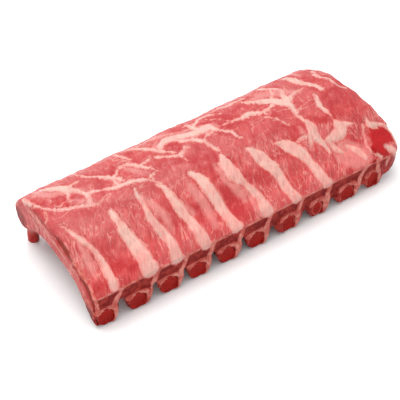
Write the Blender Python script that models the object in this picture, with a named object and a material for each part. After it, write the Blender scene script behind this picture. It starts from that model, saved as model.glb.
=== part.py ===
"""A rack of ten raw back ribs, lying bone side down.

X runs along the row of ribs, Y from the sawn front to the thick back edge, and Z is up.
The origin is the middle of the footprint, on the surface that the rack rests on.
Shapes are first laid out in millimetres from the left end and the front cut, then moved.
"""

from math import cos, pi, radians, sin

import bmesh
import bpy
import numpy as np

# Driving dimensions, in millimetres
LENGTH = 333.0
RIB_PITCH = 32.0
FIRST_RIB = 10.3
# How far each rib stands from its even place along the rack
RIB_DRIFT = (0.0, -0.4, -0.6, -3.2, -3.6, -4.6, -1.4, -1.2, 1.2, -1.2)
# Width of each rib bone at the front cut
RIB_WIDTH = (15.5, 16.5, 17.5, 17.0, 15.0, 16.0, 14.0, 12.0, 15.0, 12.0)

# Cross section of the meat as (Y, Z), from the front edge over the top, round the back and home
TOP_LINE = (
    (-1, 36.6), (3, 41.6), (9.5, 46.6), (18, 51), (29, 56), (42, 61), (56, 64.5),
    (71, 66.9), (85, 67.8), (98, 66.2), (110, 62), (120, 55),
)
BACK_LINE = ((126.8, 47), (129.9, 38.5), (128.3, 29), (123, 22.5))
UNDER_LINE = (
    (115, 21.5), (106, 28), (96, 36.5), (84, 42), (71, 43), (57, 41),
    (44, 38.5), (31, 34.5), (19, 28), (9, 22.5), (-1, 20),
)
# Middle of the meat's thickness, which its rounded ends draw in towards
CORE_LINE = ((11, 31), (25, 43), (44, 49), (64, 53.5), (84, 54.5), (98, 50.5), (111, 41))

# Along the rack the front edge gets lower and the gaps between the rib ends shallower
TOP_FALL = ((0, 0), (70, -0.5), (160, -2.5), (240, -3), (300, -5), (LENGTH, -8.5))
GAP_FALL = ((0, 0), (150, -0.5), (190, -6), (250, -8.5), (285, -12), (305, -13.5), (LENGTH, -13.5))
TOP_FALL_REACH = 60.0
GAP_FALL_REACH = 26.0

# The left end is cut along the first rib's side, so the meat there reaches down to its underside
END_FALL = ((0, -19), (9, -15), (19, -10), (31, -4.5), (60, -4.5), (90, -4.5), (106, -2), (115, 0))
END_FALL_FROM = 5.0
END_FALL_TO = 15.0

# How far the right end's corners draw back, seen from above
RIGHT_BOW = ((-2, 0), (12, 0), (35, 2), (60, 6), (85, 10), (105, 11.5), (130, 12.5))
RIGHT_BOW_REACH = 80.0
# The arch sinks towards that end
ARCH_FALL = ((0, 0), (270, 0), (300, -1.5), (LENGTH, -5))

LEFT_ROUND = 4.5
RIGHT_ROUND = 22.0
RIGHT_CLOSE = radians(72)

# Each rib's middle line as (Y, Z), from the front cut up its leg, over the arch and down the foot
RIB_LINE = (
    (-1.5, 10), (6, 15.6), (14, 22), (23, 30), (34, 37), (47, 41.5), (62, 44.4),
    (76, 45.6), (89, 43.8), (101, 38), (110, 29.5), (116, 19), (119, 9), (119.6, 0),
)
RIB_THICKNESS = ((0, 14.5), (0.2, 13.5), (0.5, 12.5), (0.85, 12), (1, 11))
RIB_TAPER = ((0, 1), (0.25, 0.92), (0.8, 0.76), (1, 0.64))

# The lobe of meat round each rib's front end: its widths there and how far right of its rib it sits
LOBE_WIDTH = (21.5, 25.5, 25.0, 24.5, 25.5, 26.0, 30.4, 26.5, 29.8, 22.0)
LOBE_SHIFT = (2.4, 2.4, 2.4, 2.4, 2.4, 2.4, 0.6, 2.4, 0.4, 1.8)
LOBE_TAPER = ((0, 1), (0.5, 0.97), (0.8, 0.84), (1, 0.7))
LOBE_LINE = ((-3, 10), (6, 15.4), (14, 21.8), (23, 29.5), (33, 36.5))
LOBE_THICKNESS = ((0, 18.8), (0.5, 18.2), (0.8, 14.5), (1, 9))
LOBE_FLARE = 0.26
LOBE_SQUARENESS = 3.0
LOBE_ROUND = ((0, 0.8), (1.2, 0.93), (3.5, 1))
# The run in which the sections turn from the upright cut to square across the rib
LEAN_RUN = 24.0

GAP = 0.3
CUT_PAST = 6.0
MM = 0.001

# Fineness of the meshes
CURVE_STEPS = 24
SECTION_POINTS = 42
STATION_STEP = 12.0
FRONT_ROWS = 3
LEFT_STEPS = 2
NEAR_STEPS = 4
RIGHT_STEPS = 5
RIB_SIDES = 10
RIB_STEPS = 15
LOBE_SIDES = 16
LOBE_STEPS = 6

MEAT_COLOUR = (0.74, 0.17, 0.16, 1)
MEAT_ROUGHNESS = 0.32
BONE_COLOUR = (0.80, 0.42, 0.36, 1)
BONE_ROUGHNESS = 0.38
SHARP_ANGLE = radians(50)


def clear_scene():
    for thing in list(bpy.data.objects):
        bpy.data.objects.remove(thing, do_unlink=True)


def new_collection(name):
    collection = bpy.data.collections.new(name)
    bpy.context.scene.collection.children.link(collection)
    return collection


def material(name, colour, roughness):
    made = bpy.data.materials.new(name)
    made.use_nodes = True
    shader = made.node_tree.nodes["Principled BSDF"]
    shader.inputs["Base Color"].default_value = colour
    shader.inputs["Roughness"].default_value = roughness
    shader.inputs["Metallic"].default_value = 0.0
    made.diffuse_color = colour
    return made


def along(table, at):
    """Reads a table of (place, value) pairs at a place, with straight runs between them."""
    places, values = np.array(table, float).T
    return np.interp(at, places, values)


def curve_through(points, count):
    """Points at even distances along a smooth curve through the given ones."""
    p = np.array(points, float)
    p = np.vstack([2 * p[0] - p[1], p, 2 * p[-1] - p[-2]])
    t = np.linspace(0, 1, CURVE_STEPS, endpoint=False)[:, None]
    fine = []
    for a, b, c, d in zip(p, p[1:], p[2:], p[3:]):
        fine.append(
            b + 0.5 * t * ((c - a) + t * ((2 * a - 5 * b + 4 * c - d) + t * (3 * (b - c) + d - a)))
        )
    fine = np.vstack(fine + [p[-2][None]])
    run = np.concatenate([[0], np.cumsum(np.hypot(*np.diff(fine, axis=0).T))])
    even = np.linspace(0, run[-1], count)
    return np.stack([np.interp(even, run, fine[:, k]) for k in (0, 1)], 1)


def smooth_step(x):
    x = np.clip(x, 0, 1)
    return x * x * (3 - 2 * x)


def nearest_on(line, points):
    """For each point, the nearest place on a line of straight runs."""
    line = np.array(line, float)
    best = np.full(len(points), np.inf)
    found = np.zeros_like(points)
    for a, b in zip(line, line[1:]):
        way = b - a
        share = np.clip((points - a) @ way / (way @ way), 0, 1)
        place = a + share[:, None] * way
        gap = np.hypot(*(points - place).T)
        nearer = gap < best
        best[nearer] = gap[nearer]
        found[nearer] = place[nearer]
    return found


def meat_section(x, inset=0, share=0):
    """The closed cross section of the meat at a place along the rack, as (Y, Z) points.

    A rounded end draws it in towards its core, by a distance and by a share of what is left.
    """
    skin = curve_through(TOP_LINE + BACK_LINE + UNDER_LINE, SECTION_POINTS)
    y, z = skin.T
    on_top = np.arange(SECTION_POINTS) < np.argmax(y)
    top_fall = along(TOP_FALL, x) * (1 - smooth_step(y / TOP_FALL_REACH))
    gap_fall = along(GAP_FALL, x) * (1 - smooth_step(y / GAP_FALL_REACH))
    near_end = 1 - smooth_step((x - END_FALL_FROM) / (END_FALL_TO - END_FALL_FROM))
    gap_fall = gap_fall + near_end * along(END_FALL, y)
    arch_fall = along(ARCH_FALL, x) * np.sin(pi * np.clip(y / BACK_LINE[1][0], 0, 1))
    skin = np.stack([y, z + arch_fall + np.where(on_top, top_fall, gap_fall)], 1)
    core = nearest_on(CORE_LINE, skin)
    way = skin - core
    skin = core + way * (1 - inset / np.hypot(*way.T)[:, None]) * (1 - share)
    skin[:, 1] = np.maximum(skin[:, 1], 0)
    front = np.linspace(skin[-1], skin[0], FRONT_ROWS + 1)[1:-1]
    return np.vstack([skin, front])


def meat_loops():
    """Cross sections of the meat from the square cut left end to the rounded right end."""
    stations = []
    for turn in np.linspace(0, pi / 2, LEFT_STEPS, endpoint=False):
        x = LEFT_ROUND * (1 - cos(turn))
        stations.append((x, LEFT_ROUND * (1 - sin(turn)), 0))
    first, last = LEFT_ROUND, LENGTH - RIGHT_ROUND
    near = np.linspace(first, END_FALL_TO, NEAR_STEPS)
    far = np.linspace(END_FALL_TO, last, round((last - END_FALL_TO) / STATION_STEP) + 1)
    stations += [(x, 0, 0) for x in (*near, *far[1:])]
    for turn in np.linspace(0, RIGHT_CLOSE, RIGHT_STEPS)[1:]:
        x = last + RIGHT_ROUND * sin(turn) / sin(RIGHT_CLOSE)
        stations.append((x, 0, 1 - cos(turn)))
    loops = []
    for x, inset, share in stations:
        section = meat_section(x, inset, share)
        reach = smooth_step((x - LENGTH + RIGHT_BOW_REACH) / RIGHT_BOW_REACH)
        bow = along(RIGHT_BOW, section[:, 0]) * reach
        loops.append(np.column_stack([x - bow, section]))
    return loops


def rib_x(index):
    return FIRST_RIB + RIB_PITCH * index + RIB_DRIFT[index]


def line_frames(line, steps):
    """Points along a rib's middle line with the direction across its thickness at each.

    The first section stands upright, as the saw cut it, and the next ones lean in turn.
    """
    points = curve_through(line, steps)
    ways = np.gradient(points, axis=0)
    slope = np.arctan2(ways[:, 1], ways[:, 0])
    if points[-1, 1] == 0:
        slope[-1] = -pi / 2
    run = np.hypot(*(points - points[0]).T)
    lean = slope * smooth_step(run / LEAN_RUN)
    across = np.stack([-np.sin(lean), np.cos(lean)], 1) / np.cos(slope - lean)[:, None]
    return points, across


def rib_loops(index, grow, past):
    """Sections of one rib bone, grown all round by a clearance and run past its ends."""
    points, across = line_frames(RIB_LINE, RIB_STEPS)
    shares = np.linspace(0, 1, RIB_STEPS)
    half_wide = RIB_WIDTH[index] / 2 * along(RIB_TAPER, shares) + grow
    half_thick = along(RIB_THICKNESS, shares) / 2 + grow
    turns = np.arange(RIB_SIDES) * 2 * pi / RIB_SIDES
    loops = []
    for centre, way, wide, thick in zip(points, across, half_wide, half_thick):
        y, z = centre[:, None] + way[:, None] * thick * np.sin(turns)
        loops.append(np.column_stack([rib_x(index) + wide * np.cos(turns), y, z]))
    if past:
        loops.insert(0, loops[0] - np.array([0, past, 0]))
        loops.append(loops[-1] - np.array([0, 0, past]))
    return loops


def lobe_loops(index):
    """Sections of the lobe round one rib's front end, squarish and wider at the top."""
    points, across = line_frames(LOBE_LINE, LOBE_STEPS)
    shares = np.linspace(0, 1, LOBE_STEPS)
    half_wide = LOBE_WIDTH[index] / 2 * along(LOBE_TAPER, shares)
    half_thick = along(LOBE_THICKNESS, shares) / 2
    turns = (np.arange(LOBE_SIDES) + 0.5) * 2 * pi / LOBE_SIDES
    power = 2 / LOBE_SQUARENESS
    side = np.sign(np.cos(turns)) * np.abs(np.cos(turns)) ** power
    rise = np.sign(np.sin(turns)) * np.abs(np.sin(turns)) ** power
    side = side * (1 + LOBE_FLARE * rise)
    middle = rib_x(index) + LOBE_SHIFT[index]
    loops = []
    for centre, way, wide, thick in zip(points, across, half_wide, half_thick):
        y, z = centre[:, None] + way[:, None] * thick * rise
        loops.append(np.column_stack([middle + wide * side, y, np.maximum(z, 0)]))
    front = loops.pop(0)
    centre = front.mean(axis=0)
    for depth, share in LOBE_ROUND[::-1]:
        ring = centre + (front - centre) * share
        ring[:, 1] = LOBE_LINE[0][0] + depth
        loops.insert(0, ring)
    return loops


def lace_shut(shape, ring, last):
    """Closes an arched ring by facing its points up in pairs, `last` with the first one."""
    shape.faces.new((ring[0], ring[1], *ring[last - 1:]))
    for k in range(1, last // 2):
        shape.faces.new((ring[k], ring[k + 1], ring[last - k - 1], ring[last - k]))


def loft(name, bodies, laced=0):
    """One mesh of closed bodies, each skinned over its own row of loops and capped."""
    shape = bmesh.new()
    for loops in bodies:
        rings = [[shape.verts.new(point * MM) for point in loop] for loop in loops]
        for one, two in zip(rings, rings[1:]):
            for k in range(len(one)):
                shape.faces.new((one[k - 1], one[k], two[k], two[k - 1]))
        for ring in (rings[0], rings[-1]):
            if laced:
                lace_shut(shape, ring, laced)
            else:
                shape.faces.new(ring)
    bmesh.ops.recalc_face_normals(shape, faces=shape.faces)
    mesh = bpy.data.meshes.new(name)
    shape.to_mesh(mesh)
    shape.free()
    return mesh


def place(name, mesh, collection, parent):
    thing = bpy.data.objects.new(name, mesh)
    collection.objects.link(thing)
    thing.parent = parent
    return thing


def as_cutter(thing):
    thing.hide_render = True
    thing.display_type = "WIRE"


def join_shape(target, tool, operation, solver):
    step = target.modifiers.new(operation.lower(), "BOOLEAN")
    step.operation = operation
    step.object = tool
    step.solver = solver


def main():
    clear_scene()
    rack = new_collection("rack_of_ribs")
    helpers = new_collection("rack_of_ribs_cutters")
    meat_finish = material("raw_meat", MEAT_COLOUR, MEAT_ROUGHNESS)
    bone_finish = material("rib_bone", BONE_COLOUR, BONE_ROUGHNESS)

    middle = bpy.data.objects.new("rack_middle", None)
    rack.objects.link(middle)
    section = meat_section(LENGTH / 2)
    front = LOBE_LINE[0][0]
    back = section[:, 0].max()
    middle.location = (-LENGTH / 2 * MM, -(front + back) / 2 * MM, 0)

    meat = place("meat", loft("meat", [meat_loops()], SECTION_POINTS - 1), rack, middle)
    meat.data.materials.append(meat_finish)
    ribs = range(len(RIB_WIDTH))
    lobes = place("lobes", loft("lobes", [lobe_loops(k) for k in ribs]), helpers, middle)
    channels = [rib_loops(k, GAP, CUT_PAST) for k in ribs]
    cutter = place("rib_channels", loft("rib_channels", channels), helpers, middle)
    for helper in (lobes, cutter):
        as_cutter(helper)
    # The exact solver loses the meat when it cuts what it joined itself
    join_shape(meat, lobes, "UNION", "MANIFOLD")
    join_shape(meat, cutter, "DIFFERENCE", "EXACT")

    for k in ribs:
        name = f"rib_{k + 1:02d}"
        mesh = loft(name, [rib_loops(k, 0, 0)])
        mesh.materials.append(bone_finish)
        mesh.shade_smooth()
        mesh.set_sharp_from_angle(angle=SHARP_ANGLE)
        place(name, mesh, rack, middle)


main()
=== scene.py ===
"""The looks of the rack of ribs: marbled raw meat over sawn rib bones.

Shapes are laid out as in the part's source, in millimetres: x along the rack from its left end,
y back from the front cut and z up from the surface that the rack rests on.
"""

from math import cos, pi, radians, sin

import bmesh
import bpy
import numpy as np
from mathutils import Matrix, Vector
from mathutils.bvhtree import BVHTree


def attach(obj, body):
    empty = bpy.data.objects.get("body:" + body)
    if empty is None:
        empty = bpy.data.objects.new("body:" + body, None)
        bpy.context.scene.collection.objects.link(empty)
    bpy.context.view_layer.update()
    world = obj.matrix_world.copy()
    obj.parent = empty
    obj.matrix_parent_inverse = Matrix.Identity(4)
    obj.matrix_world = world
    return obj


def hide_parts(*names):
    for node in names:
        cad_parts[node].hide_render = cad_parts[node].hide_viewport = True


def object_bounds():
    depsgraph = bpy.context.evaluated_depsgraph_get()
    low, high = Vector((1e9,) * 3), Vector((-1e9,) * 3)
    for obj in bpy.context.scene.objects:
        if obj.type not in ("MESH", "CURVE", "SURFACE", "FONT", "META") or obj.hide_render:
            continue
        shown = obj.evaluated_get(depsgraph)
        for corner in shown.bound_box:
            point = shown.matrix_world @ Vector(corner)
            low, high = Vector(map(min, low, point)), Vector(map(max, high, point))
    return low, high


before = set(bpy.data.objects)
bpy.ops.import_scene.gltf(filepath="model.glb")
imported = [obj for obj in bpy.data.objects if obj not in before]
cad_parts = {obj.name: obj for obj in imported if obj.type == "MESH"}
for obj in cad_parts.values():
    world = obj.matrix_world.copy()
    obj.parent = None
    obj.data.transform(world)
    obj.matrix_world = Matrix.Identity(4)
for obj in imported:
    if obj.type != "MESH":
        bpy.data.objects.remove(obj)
CAD_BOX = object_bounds()

# The forms of the solids, in millimetres
LENGTH = 333.0
RIB_PITCH = 32.0
FIRST_RIB = 10.3
RIB_DRIFT = (0.0, -0.4, -0.6, -3.2, -3.6, -4.6, -1.4, -1.2, 1.2, -1.2)
RIB_WIDTH = (15.5, 16.5, 17.5, 17.0, 15.0, 16.0, 14.0, 12.0, 15.0, 12.0)
TOP_LINE = (
    (-1, 36.6), (3, 41.6), (9.5, 46.6), (18, 51), (29, 56), (42, 61), (56, 64.5),
    (71, 66.9), (85, 67.8), (98, 66.2), (110, 62), (120, 55),
)
BACK_LINE = ((126.8, 47), (129.9, 38.5), (128.3, 29), (123, 22.5))
UNDER_LINE = (
    (115, 21.5), (106, 28), (96, 36.5), (84, 42), (71, 43), (57, 41),
    (44, 38.5), (31, 34.5), (19, 28), (9, 22.5), (-1, 20),
)
CORE_LINE = ((11, 31), (25, 43), (44, 49), (64, 53.5), (84, 54.5), (98, 50.5), (111, 41))
TOP_FALL = ((0, 0), (70, -0.5), (160, -2.5), (240, -3), (300, -5), (LENGTH, -8.5))
GAP_FALL = ((0, 0), (150, -0.5), (190, -6), (250, -8.5), (285, -12), (305, -13.5), (LENGTH, -13.5))
TOP_FALL_REACH = 60.0
GAP_FALL_REACH = 26.0
END_FALL = ((0, -19), (9, -15), (19, -10), (31, -4.5), (60, -4.5), (90, -4.5), (106, -2), (115, 0))
END_FALL_FROM = 5.0
END_FALL_TO = 15.0
RIGHT_BOW = ((-2, 0), (12, 0), (35, 2), (60, 6), (85, 10), (105, 11.5), (130, 12.5))
RIGHT_BOW_REACH = 80.0
ARCH_FALL = ((0, 0), (270, 0), (300, -1.5), (LENGTH, -5))
LEFT_ROUND = 4.5
RIGHT_ROUND = 22.0
RIGHT_CLOSE = radians(72)
RIB_LINE = (
    (-1.5, 10), (6, 15.6), (14, 22), (23, 30), (34, 37), (47, 41.5), (62, 44.4),
    (76, 45.6), (89, 43.8), (101, 38), (110, 29.5), (116, 19), (119, 9), (119.6, 0),
)
RIB_THICKNESS = ((0, 14.5), (0.2, 13.5), (0.5, 12.5), (0.85, 12), (1, 11))
RIB_TAPER = ((0, 1), (0.25, 0.92), (0.8, 0.76), (1, 0.64))
LOBE_WIDTH = (21.5, 25.5, 25.0, 24.5, 25.5, 26.0, 30.4, 26.5, 29.8, 22.0)
LOBE_SHIFT = (2.4, 2.4, 2.4, 2.4, 2.4, 2.4, 0.6, 2.4, 0.4, 1.8)
LOBE_TAPER = ((0, 1), (0.5, 0.97), (0.8, 0.84), (1, 0.7))
LOBE_LINE = ((-3, 10), (6, 15.4), (14, 21.8), (23, 29.5), (33, 36.5))
LOBE_THICKNESS = ((0, 18.8), (0.5, 18.2), (0.8, 14.5), (1, 9))
LOBE_FLARE = 0.26
LOBE_SQUARENESS = 3.0
LOBE_ROUND = ((0, 0.8), (1.2, 0.93), (3.5, 1))
LEAN_RUN = 24.0
GAP = 0.3
CUT_PAST = 6.0
MM = 0.001
# Where the layout's zero lies in the frame
HOME = Vector((CAD_BOX[0].x, CAD_BOX[0].y - LOBE_LINE[0][0] * MM, 0))

# Fineness of the dressed shapes
CURVE_STEPS = 24
SECTION_POINTS = 140
STATION_STEP = 3.0
LEFT_STEPS = 4
RIGHT_STEPS = 12
FRONT_ROWS = 9
RIB_SIDES = 32
RIB_STEPS = 60
LOBE_SIDES = 40
LOBE_STEPS = 20
VOXEL = 1.2
# What faces down this much, behind this, is made coarser, which keeps this share of all faces
HIDDEN_FACING = -0.3
HIDDEN_FROM = 12.0
KEPT_SHARE = 0.68

# The photograph's camera: where it stands in the layout, its turn from +Y, its fall and its focal length
CAMERA_PLACE = np.array((-356.4, -664.5, 901.4))
CAMERA_TURN = radians(34.87)
CAMERA_FALL = radians(45)
FOCAL_PIXELS = 1400.0
IMAGE_SIDE = 400.0
SENSOR = 36.0

# Fat seams on the top, each as its widths in millimetres along it and its pixels in the photograph
FAT_SEAMS = (
    # Bands between the ribs, from the middle of the top to the front edge
    (
        (1.5, 3, 5, 4.5, 6, 7.5, 8),
        (60, 225), (69, 231), (78, 238), (90, 246), (99, 256), (107, 269), (115, 287),
    ),
    ((4, 8, 10.5, 12.5, 16), (111, 211), (121, 226), (131, 240), (141, 254), (150, 269)),
    ((1.5, 3, 7, 9, 10, 11.5), (134, 189), (144, 204), (153, 221), (162, 233), (171, 243), (178, 259)),
    ((4, 7, 10, 9, 11, 12), (165, 187), (174, 201), (186, 216), (196, 228), (202, 237), (207, 245)),
    ((4, 9, 10, 10, 10, 12), (191, 173), (201, 178), (210, 190), (218, 202), (226, 213), (237, 227)),
    (
        (3, 13, 14, 7, 6, 9, 13),
        (221, 154), (226, 164), (232, 172), (242, 181), (251, 189), (260, 199), (267, 211),
    ),
    ((4, 13, 13, 9, 8, 12), (248, 149), (256, 153), (265, 161), (277, 173), (286, 186), (296, 198)),
    ((4, 14, 12, 8, 9, 12), (276, 143), (284, 144), (296, 150), (308, 160), (318, 171), (327, 183)),
    ((3, 10, 8, 5, 2), (306, 121), (312, 128), (317, 137), (324, 144), (330, 152)),
    ((4, 3, 1), (310, 132), (311, 140), (312, 147)),
    # The rims of the broad pale patch and the star above it, near the right end
    ((2, 5, 6, 3), (329, 140), (333, 146), (338, 150), (344, 153)),
    ((3, 7, 9, 5), (347, 146), (354, 149), (361, 153), (366, 158)),
    ((2, 5, 12, 12, 8, 6), (333, 117), (336, 122), (340, 127), (341, 131), (335, 136), (328, 140)),
    ((8, 4, 1.5), (343, 125), (348, 124), (355, 123)),
    # The net of seams on the back half of the top, from the left
    ((1.5, 5, 8, 9, 5, 3), (32, 190), (44, 189), (57, 188), (66, 189), (76, 190), (87, 194)),
    ((5, 3, 1.5), (66, 190), (68, 194), (68, 198)),
    ((4, 3, 2.5), (70, 187), (75, 183), (81, 179)),
    ((3, 4, 5, 4, 6, 3), (66, 172), (76, 175), (86, 177), (101, 177), (114, 177), (120, 179)),
    ((5, 3, 1.5), (113, 176), (116, 172), (117, 167)),
    ((3, 3, 4, 1.8, 1.4, 1.2), (21, 199), (36, 206), (49, 209), (67, 209), (82, 206), (98, 204)),
    ((2, 2, 2), (84, 193), (93, 191), (104, 189)),
    ((2, 2.5, 3, 3, 2), (104, 189), (116, 187), (132, 182), (148, 180), (161, 183)),
    ((3, 2.5, 1.5), (85, 193), (88, 197), (90, 203)),
    ((1.5, 1.5, 1.5), (112, 178), (116, 182), (119, 185)),
    ((2, 3, 5, 6, 4, 2), (118, 167), (125, 164), (134, 164), (143, 167), (152, 169), (158, 171)),
    ((4, 3, 1), (140, 165), (145, 162), (149, 159)),
    ((3, 4, 2), (157, 171), (151, 176), (154, 179)),
    ((1.5, 2, 3, 4, 2), (156, 157), (168, 156), (178, 155), (183, 151), (185, 147)),
    ((3, 2, 1), (179, 154), (184, 157), (188, 161)),
    ((2, 3, 3, 4, 2), (128, 150), (140, 149), (150, 150), (160, 151), (176, 152)),
    ((5, 7, 8, 9, 9, 6), (159, 149), (165, 140), (174, 137), (187, 135), (201, 131), (211, 127)),
    ((6, 5, 4), (164, 140), (173, 139), (183, 141)),
    ((3.5, 3.5, 3.5, 2.5, 2), (180, 141), (192, 140), (203, 141), (210, 145), (219, 150)),
    ((2, 2, 2), (213, 131), (207, 136), (205, 140)),
    ((4, 4, 3, 2), (193, 126), (200, 118), (209, 115), (221, 113)),
    ((1.5, 2.2, 1.5), (207, 119), (219, 119), (231, 121)),
    ((4, 5, 3), (185, 125), (194, 128), (202, 130)),
    ((5, 7, 4, 3, 1.5), (200, 130), (207, 126), (218, 130), (230, 132), (240, 137)),
    ((3, 4, 2), (158, 184), (166, 189), (174, 199)),
    ((1.5, 2, 3), (134, 189), (140, 198), (144, 205)),
    (
        (2, 2.5, 3.5, 5, 5, 3, 3),
        (218, 126), (230, 122), (242, 117), (250, 113), (262, 112), (268, 109), (272, 105),
    ),
    ((3, 2, 1), (264, 112), (267, 115), (270, 118)),
    ((3, 5, 6, 8, 6, 3), (240, 103), (254, 102), (270, 100), (281, 102), (289, 104), (297, 113)),
    ((2, 3, 4, 5, 7), (258, 89), (270, 89), (281, 90), (283, 95), (288, 100)),
    ((3, 3, 4), (270, 90), (272, 95), (269, 101)),
    ((6, 3, 1.5), (289, 99), (294, 92), (302, 88)),
    ((3, 7, 8, 6, 4), (280, 79), (290, 80), (300, 82), (311, 84), (321, 89)),
    ((4, 5, 4, 3, 2.5), (312, 71), (318, 76), (329, 79), (337, 84), (345, 87)),
    ((2, 1.5, 2, 3), (290, 105), (297, 114), (304, 121), (309, 125)),
    ((2, 4, 5, 5), (212, 112), (222, 107), (232, 104), (242, 100)),
    ((1.2, 1.5, 1), (265, 117), (279, 120), (290, 126)),
    ((1.5, 2, 1.5), (107, 158), (116, 156), (131, 159)),
    ((1.5, 1.5, 1.5), (297, 142), (301, 138), (309, 136)),
    ((2, 3, 3, 2.5, 3), (316, 96), (319, 104), (325, 109), (332, 116), (337, 122)),
    # Round the right end
    ((2, 6, 5, 3, 2), (366, 118), (370, 124), (376, 124), (383, 124), (389, 128)),
    ((2, 2.5, 3, 3, 2), (388, 127), (394, 135), (397, 144), (398, 151), (397, 157)),
    ((2, 6, 6, 3), (386, 146), (390, 148), (395, 151), (396, 155)),
    ((1.5, 1.5, 2, 2), (363, 124), (364, 136), (367, 146), (374, 154)),
    ((1, 4, 3), (372, 153), (377, 155), (382, 157)),
    ((1, 1.5, 1), (389, 157), (388, 161), (387, 165)),
    # The thick corner at the left end's back
    ((3, 5, 5, 3), (20, 198), (26, 203), (31, 205), (37, 207)),
)

# Soft pale zones on the top, in the same form
VEILS = (
    ((4, 8, 7), (104, 158), (120, 153), (134, 148)),
    ((4, 8, 6), (147, 139), (160, 137), (173, 134)),
    ((3, 8, 9, 5), (146, 199), (156, 207), (165, 217), (172, 229)),
    ((4, 8, 6), (172, 203), (182, 207), (192, 212)),
    ((4, 10, 12, 5), (215, 166), (228, 178), (238, 190), (246, 200)),
    ((3, 5, 5), (204, 109), (223, 105), (241, 98)),
    ((2, 4, 5, 5, 2), (74, 236), (82, 248), (88, 260), (92, 270), (97, 277)),
    ((3, 10, 12, 8), (336, 156), (346, 160), (354, 163), (362, 162)),
    ((6, 13, 18, 19, 15), (328, 141), (337, 147), (346, 150), (355, 151), (365, 156)),
    ((2, 6, 4), (300, 128), (308, 140), (311, 148)),
    ((3, 4, 3), (70, 200), (84, 201), (98, 205)),
    ((3, 6, 7, 4), (212, 186), (220, 200), (227, 212), (232, 224)),
    ((3, 7, 9, 5), (190, 186), (200, 198), (208, 212), (216, 226)),
    ((3, 5, 5, 3), (242, 184), (250, 196), (256, 206), (260, 216)),
    ((3, 6, 3), (34, 192), (50, 196), (60, 194)),
    ((2, 5, 2), (262, 84), (285, 76), (300, 76)),
    ((6, 13, 15, 9), (158, 145), (176, 136), (196, 131), (214, 126)),
    ((4, 10, 9, 4), (248, 101), (268, 94), (286, 92), (300, 90)),
    ((4, 8, 8, 4), (40, 190), (58, 192), (76, 190), (88, 192)),
    ((3, 7, 3), (120, 165), (136, 170), (150, 173)),
)

# Pale connective tissue on the left end and the front, in the same form
FASCIA_SEAMS = (
    ((4, 5, 5, 4, 4, 4), (36, 217), (43, 228), (51, 239), (59, 250), (67, 262), (75, 275)),
    ((3, 4, 4, 4, 3), (73, 263), (82, 276), (89, 288), (95, 301), (99, 318)),
    ((2, 3, 4, 3, 3), (46, 241), (59, 260), (72, 279), (82, 298), (93, 318)),
    ((4, 5, 3), (24, 204), (29, 212), (35, 219)),
    ((3, 2, 2), (17, 203), (14, 212), (17, 223)),
    ((3, 2, 2), (45, 213), (47, 219), (45, 224)),
)

# Slits between muscles on the left end, sunk into the mesh and darkened with painted shade: width and
# depth in millimetres, then pixels
SLITS = (
    (6.5, 2.0, (55, 237), (61, 246), (67, 255), (71, 262)),
    (6.5, 2.2, (79, 278), (85, 288), (89, 297), (93, 307)),
    (1.6, 0.8, (27, 208), (31, 216), (38, 226), (40, 233)),
    (1.4, 0.6, (72, 279), (77, 289), (80, 297)),
    (1.5, 0.7, (34, 211), (42, 222), (50, 232), (55, 238)),
    (1.6, 0.8, (71, 262), (76, 270), (80, 279)),
)

# Deep red lean that shows on the top and the ends: strength, radius in millimetres and pixel
LEAN_SPOTS = (
    (1, 12, (380, 139)), (1, 10, (386, 134)), (1, 9, (384, 147)), (1, 8, (377, 131)),
    (1, 8, (378, 150)), (0.5, 9, (62, 203)), (0.4, 8, (52, 201)), (0.6, 6, (70, 206)),
    (0.35, 6, (43, 203)), (0.4, 6, (20, 220)), (0.4, 6, (108, 284)), (0.35, 5, (96, 289)),
    (0.3, 6, (127, 172)), (0.3, 7, (150, 157)), (0.35, 6, (332, 174)),
)

# Darker red lean on the rounded right end and the left end's muscle, in the same form
DARK_SPOTS = (
    (1, 11, (385, 164)), (1, 9, (391, 160)), (1, 8, (380, 169)), (1, 7, (394, 165)),
    (0.8, 4, (374, 163)), (1.2, 12, (20, 217)), (1.2, 9, (23, 225)),
)


def along(table, at):
    """Reads a table of (place, value) pairs at a place, with straight runs between them."""
    places, values = np.array(table, float).T
    return np.interp(at, places, values)


def smooth_step(x):
    x = np.clip(x, 0, 1)
    return x * x * (3 - 2 * x)


def ramp(value, start, full):
    """A smooth rise from 0 where the value is at the start to 1 where it is full."""
    return smooth_step((value - start) / (full - start))


def spread_evenly(values, count):
    """The values read at even steps from the first one to the last."""
    return np.interp(np.linspace(0, 1, count), np.linspace(0, 1, len(values)), values)


def curve_through(points, count):
    """Points at even distances along a smooth curve through the given ones, in any dimension."""
    p = np.array(points, float)
    p = np.vstack([2 * p[0] - p[1], p, 2 * p[-1] - p[-2]])
    t = np.linspace(0, 1, CURVE_STEPS, endpoint=False)[:, None]
    fine = []
    for a, b, c, d in zip(p, p[1:], p[2:], p[3:]):
        fine.append(
            b + 0.5 * t * ((c - a) + t * ((2 * a - 5 * b + 4 * c - d) + t * (3 * (b - c) + d - a)))
        )
    fine = np.vstack(fine + [p[-2][None]])
    run = np.concatenate([[0], np.cumsum(np.linalg.norm(np.diff(fine, axis=0), axis=1))])
    even = np.linspace(0, run[-1], count)
    return np.stack([np.interp(even, run, column) for column in fine.T], 1)


def nearest_on(line, points):
    """For each point, the nearest place on a line of straight runs."""
    line = np.array(line, float)
    best = np.full(len(points), np.inf)
    found = np.zeros_like(points)
    for a, b in zip(line, line[1:]):
        way = b - a
        share = np.clip((points - a) @ way / (way @ way), 0, 1)
        place = a + share[:, None] * way
        gap = np.linalg.norm(points - place, axis=1)
        nearer = gap < best
        best[nearer] = gap[nearer]
        found[nearer] = place[nearer]
    return found


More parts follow.
